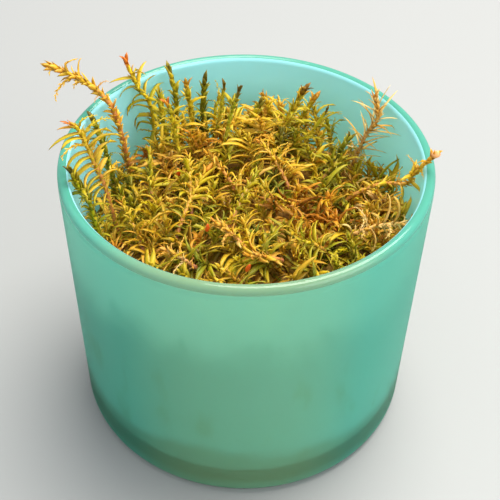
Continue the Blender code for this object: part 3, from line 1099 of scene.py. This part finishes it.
# Each shoot's foot on the cushion, as x and y, and the points that it passes, in millimetres.
TALL_SHOOTS = {
    "shoot_01_overhanging": [(-27.5, 16), (-29.7, 16, 64.5), (-33, 16, 72), (-38, 16, 76), (-43, 16, 78.5)],
    "shoot_02": [(-22.5, 26), (-23, 25.5, 61), (-25.5, 25, 67), (-28, 25, 74.5)],
    "shoot_03": [(-28, -5), (-30, -5, 62), (-32, -5, 70), (-33.5, -5, 76.5), (-35.5, -5, 79)],
    "shoot_04": [(-30.5, 11), (-32.5, 11, 61), (-34, 11, 67.5)],
    "shoot_05": [(-31, -9), (-33, -9, 62), (-34.5, -9.5, 66), (-35.5, -10, 70.5)],
    "shoot_06": [(-17, 28), (-17.5, 28.5, 63), (-18.5, 29.5, 69)],
    "shoot_07": [(-19, 21), (-20, 22, 62), (-20.5, 23, 67)],
    "shoot_08": [(-15.5, 16), (-17, 16, 64), (-18, 16, 69.5)],
    "shoot_09": [(-13, 24), (-13.5, 24.5, 62), (-14.5, 25, 68.5)],
    "shoot_10": [(-10.5, 29), (-11, 29, 60), (-10.5, 28.5, 66.5)],
    "shoot_11": [(-8, 25), (-8, 25.5, 60), (-7, 26.5, 64)],
    "shoot_12": [(-8, 19.5), (-6.5, 20, 64), (-5.5, 19.5, 72)],
    "shoot_13": [(-6.5, 14), (-4.5, 15, 64), (-2, 15, 74)],
    "shoot_14": [(4.5, 26), (5, 26.5, 60), (3.5, 27, 64.5)],
    "shoot_15": [(0, 22), (1, 22, 61), (2.5, 22, 65)],
    "shoot_16": [(6.5, 20.5), (9.5, 20.5, 63), (12.5, 20, 71)],
    "shoot_17": [(11.5, 25), (13, 25.5, 60), (15.5, 25.5, 65)],
    "shoot_18": [(13.5, 20), (15.8, 20, 61), (18, 19.5, 66)],
    "shoot_19_feathery": [(24, 16), (27, 17, 60), (29.5, 17, 66), (28.5, 18, 71)],
    "shoot_20_over_rim": [(23, 3), (29.5, 2.5, 58.5), (35, 0, 61), (35.5, -2, 65), (38.8, -4, 72)],
    "shoot_21": [(22, -10), (28.5, -10.5, 58), (34.5, -11.5, 59.5)],
    "shoot_22": [(20.5, 13), (21.5, 13.5, 58.5), (23, 14, 62)],
}

# How each habit grows: lengths in millimetres, angles in degrees, tones from 0, dark green, to 1, cream.
# Side branches grow between the low and high shares of the shoot, and lean out from open to close.
HABITS = {
    "sickle": {"branch": 7.0, "low": 0.4, "high": 0.95, "open": 66, "close": 45, "gap": 1.4, "turn": 137.5,
               "scale": 2.7, "lie": 32, "girth": 0.58, "tone": 0.66, "ripe": 0.05, "dark": 0, "brown": 0.9},
    "arching": {"branch": 7.0, "low": 0.12, "high": 0.85, "open": 85, "close": 45, "gap": 0.8, "turn": 178,
                "scale": 2.0, "lie": 26, "girth": 0.5, "tone": 0.5, "ripe": 1, "dark": 0, "brown": 0.9},
    "bushy": {"branch": 5.0, "low": 0.05, "high": 0.8, "open": 70, "close": 30, "gap": 0.75, "turn": 137.5,
              "scale": 2.2, "lie": 28, "girth": 0.5, "tone": 0.36, "ripe": 0.5, "dark": 0.3, "brown": 0.4},
    "spear": {"branch": 4.4, "low": 0.05, "high": 0.6, "open": 55, "close": 25, "gap": 1.0, "turn": 137.5,
              "scale": 2.6, "lie": 24, "girth": 0.5, "tone": 0.2, "ripe": 0, "dark": 0.8, "brown": 0.1},
    "wiry": {"branch": 3.6, "low": 0.05, "high": 0.35, "open": 55, "close": 30, "gap": 1.1, "turn": 137.5,
             "scale": 1.7, "lie": 22, "girth": 0.4, "tone": 0.3, "ripe": 0.2, "dark": 0.8, "brown": 0.4},
    "feathered": {"branch": 7.0, "low": 0.1, "high": 0.93, "open": 62, "close": 35, "gap": 0.42,
                  "turn": 137.5, "scale": 2.1, "lie": 26, "girth": 0.42, "tone": 0.9, "ripe": 0.15,
                  "dark": 0, "brown": 0.6},
    "lying": {"branch": 5.0, "low": 0.1, "high": 0.9, "open": 70, "close": 40, "gap": 1.1, "turn": 137.5,
              "scale": 1.9, "lie": 28, "girth": 0.45, "tone": 0.6, "ripe": 0.4, "dark": 0, "brown": 0.8},
}

# The habit of each shoot, and where it differs from it.
SHOOT_HABITS = {
    "shoot_01_overhanging": ("sickle", {}),
    "shoot_02": ("arching", {"branch": 6.6, "tone": 0.42, "brown": 0.15, "turn": 122}),
    "shoot_03": ("arching", {}),
    "shoot_04": ("spear", {}),
    "shoot_05": ("spear", {"tone": 0.26}),
    "shoot_06": ("spear", {"tone": 0.32}),
    "shoot_07": ("spear", {"tone": 0.36, "dark": 0.3}),
    "shoot_08": ("bushy", {"ripe": 1, "dark": 0}),
    "shoot_09": ("bushy", {"branch": 4.0}),
    "shoot_10": ("spear", {}),
    "shoot_11": ("wiry", {"dark": 0.2}),
    "shoot_12": ("wiry", {"brown": 0.7}),
    "shoot_13": ("wiry", {"tone": 0.22, "girth": 0.42}),
    "shoot_14": ("bushy", {"tone": 0.45}),
    "shoot_15": ("spear", {"tone": 0.3}),
    "shoot_16": ("bushy", {"tone": 0.38, "dark": 0.95, "scale": 2.4}),
    "shoot_17": ("bushy", {"tone": 0.42, "ripe": 0.6, "branch": 4.0}),
    "shoot_18": ("wiry", {"dark": 1, "scale": 1.6, "girth": 0.45}),
    "shoot_19_feathery": ("feathered", {}),
    "shoot_20_over_rim": ("lying", {}),
    "shoot_21": ("lying", {"branch": 6.0, "gap": 0.7, "dark": 1, "ripe": 0, "tone": 0.9, "brown": 0.5}),
    "shoot_22": ("spear", {"tone": 0.1}),
}
TALL_STEPS = 26
ROOT_DEPTH = 6 * MM
ROOT_SHARE = 0.18
RIM_BUD = Vector((39.0, -4.1, 72.3)) * MM


def smooth_route(points, steps):
    """Points spread along a Catmull-Rom curve through the given ones."""
    padded = [2 * points[0] - points[1], *points, 2 * points[-1] - points[-2]]
    spans = len(points) - 1
    route = []
    for i in range(steps + 1):
        place = min(i / steps * spans, spans - 1e-6)
        k, t = int(place), place - int(place)
        a, b, c, d = padded[k : k + 4]
        bends = (2 * a - 5 * b + 4 * c - d) * t**2 + (3 * b - 3 * c + d - a) * t**3
        route.append(0.5 * (2 * b + (c - a) * t + bends))
    return route


def tall_shoot(points, grows):
    """One tall shoot, rooted below its foot. It bears side branches only between its low and high shares."""
    (x, y), *others = points
    foot = above_crowd(x, y, 0)
    above = [Vector(p) * MM for p in others]
    rise = (above[0] - foot).normalized()
    root = foot - ROOT_DEPTH * (rise + Vector((0, 0, 1))).normalized()
    share = np.linspace(0, 1, TALL_STEPS + 1)
    above_root = np.clip((share - ROOT_SHARE) / (1 - ROOT_SHARE), 0, 1)
    # The side branches lengthen over a fifth of the shoot, and shorten again towards their last ones.
    low, high = grows["low"], grows["high"]
    leafy = smooth_step(low, low + 0.2, above_root) * (1 - smooth_step(high - 0.1, 1.02, above_root) * 0.75)
    leafy *= above_root < high + 0.04
    near_tip = smooth_step(0.8, 0.97, above_root)
    return {
        "points": smooth_route([root, foot, *above], TALL_STEPS),
        "girth": grows["girth"] * MM * (1.05 - 0.3 * share) * (1 - 0.75 * smooth_step(0.96, 1, share)),
        "branch_size": grows["branch"] * MM * leafy,
        "branch_spread": np.radians(grows["open"] + (grows["close"] - grows["open"]) * above_root),
        "scale_size": grows["scale"] * MM * (0.8 + 0.3 * share),
        "scale_spread": np.radians(grows["lie"] * (1.2 - 0.7 * above_root)),
        "tone": grows["tone"],
        "ripe": grows["ripe"] * near_tip,
        "dark": grows["dark"] * smooth_step(0.88, 0.99, above_root),
        "brown": grows["brown"] * (1 - 0.8 * smooth_step(0.3, 0.8, above_root)),
    }


def make_tall_shoots():
    for k, (name, points) in enumerate(TALL_SHOOTS.items()):
        habit, changes = SHOOT_HABITS[name]
        grows = {**HABITS[habit], **changes}
        settings = {
            "Branch Shapes": FAN_SHAPES if habit == "feathered" else BROAD_SHAPES,
            "Branch Gap": grows["gap"] * MM,
            "Branch Turn": math.radians(grows["turn"]),
            "Scale Gap": 0.38 * MM,
            "Turn Jitter": 0.3,
            "Seed": 300 + 7 * k,
        }
        shoot = dress_stems("tall_" + name, [tall_shoot(points, grows)], settings)
        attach(shoot, "root")
        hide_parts(name)


make_tall_shoots()
make_buds("rim_bud", [RIM_BUD], 0.95 * MM, 0.95 * MM, tint(232, 160, 96), "shoot_20_over_rim")

# The loose leaf and branch shapes have all been copied onto the stems, so they are cleared away.
for shapes in (BRANCH_SHAPES, BROAD_SHAPES, FAN_SHAPES, SCALE_SHAPES):
    for obj in list(shapes.objects):
        bpy.data.objects.remove(obj)
    bpy.data.collections.remove(shapes)
